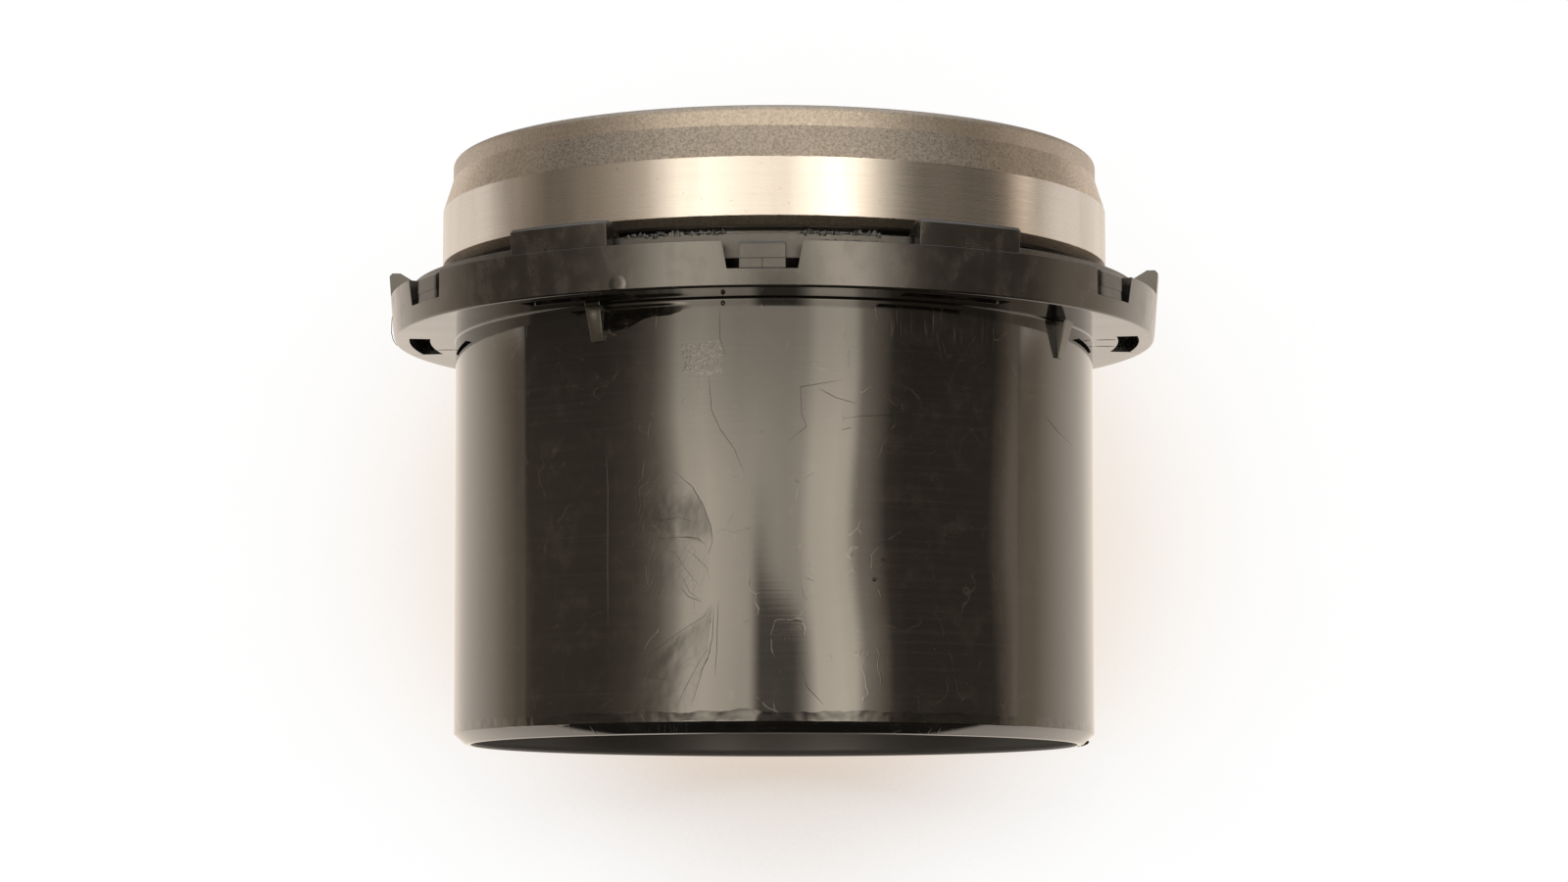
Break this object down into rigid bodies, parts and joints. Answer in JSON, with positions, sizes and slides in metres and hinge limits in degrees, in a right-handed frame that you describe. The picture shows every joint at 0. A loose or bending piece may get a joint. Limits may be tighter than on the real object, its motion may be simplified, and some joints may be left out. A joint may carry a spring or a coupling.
{
  "type": "clutch release bearing",
  "caption": "Release bearing with a steel rotating ring on a floating carrier, snapped into the flange of a wide black plastic guide sleeve, for pressing on the fingers of a clutch.",
  "frame": {"origin": "centre of the guide sleeve's open end, on which the part stands", "axes": "+Z along the axis towards the clutch, -Y through the rim notch that faces the viewer"},
  "size_m": [0.0904, 0.0896, 0.0683],
  "materials": {
    "sleeve_plastic": "glossy black moulded plastic with oil smears and scratches",
    "carrier_plastic": "satin black moulded plastic",
    "outer_ring_steel": "ground band with blasted neck",
    "inner_ring_steel": "turned steel",
    "ball_steel": "polished steel",
    "spring_steel": "rolled spring strip",
    "cage_plastic": "natural polyamide",
    "seal_rubber": "moulded rubber"
  },
  "bodies": {
    "sleeve": {"guide_sleeve": "sleeve_plastic"},
    "spring": {"wave_spring": "spring_steel"},
    "carrier": {"bearing_carrier": "carrier_plastic", "inner_ring": "inner_ring_steel"},
    "rotor": {"outer_ring": "outer_ring_steel", "top_seal": "seal_rubber", "bottom_seal": "seal_rubber"},
    "ball_set": {"ball_cage": "cage_plastic", "ball_01": "ball_steel", "ball_02": "ball_steel", "ball_03": "ball_steel", "ball_04": "ball_steel", "ball_05": "ball_steel", "ball_06": "ball_steel", "ball_07": "ball_steel", "ball_08": "ball_steel", "ball_09": "ball_steel", "ball_10": "ball_steel", "ball_11": "ball_steel", "ball_12": "ball_steel", "ball_13": "ball_steel", "ball_14": "ball_steel", "ball_15": "ball_steel", "ball_16": "ball_steel", "ball_17": "ball_steel", "ball_18": "ball_steel", "ball_19": "ball_steel", "ball_20": "ball_steel", "ball_21": "ball_steel", "ball_22": "ball_steel"}
  },
  "joints": [
    {"name": "float_x", "type": "slide", "parent": "sleeve", "child": "spring", "axis": [1, 0, 0], "range_m": [-0.0005, 0.0005]},
    {"name": "float_y", "type": "slide", "parent": "spring", "child": "carrier", "axis": [0, 1, 0], "range_m": [-0.0005, 0.0005]},
    {"name": "bearing_spin", "type": "hinge", "parent": "carrier", "child": "rotor", "pos_m": [0, 0, 0.061], "axis": [0, 0, 1], "continuous": true},
    {"name": "cage_spin", "type": "hinge", "parent": "carrier", "child": "ball_set", "pos_m": [0, 0, 0.061], "axis": [0, 0, 1], "continuous": true}
  ],
  "couplings": [
    {"joint": "cage_spin", "follows": "bearing_spin", "ratio": 0.538}
  ]
}
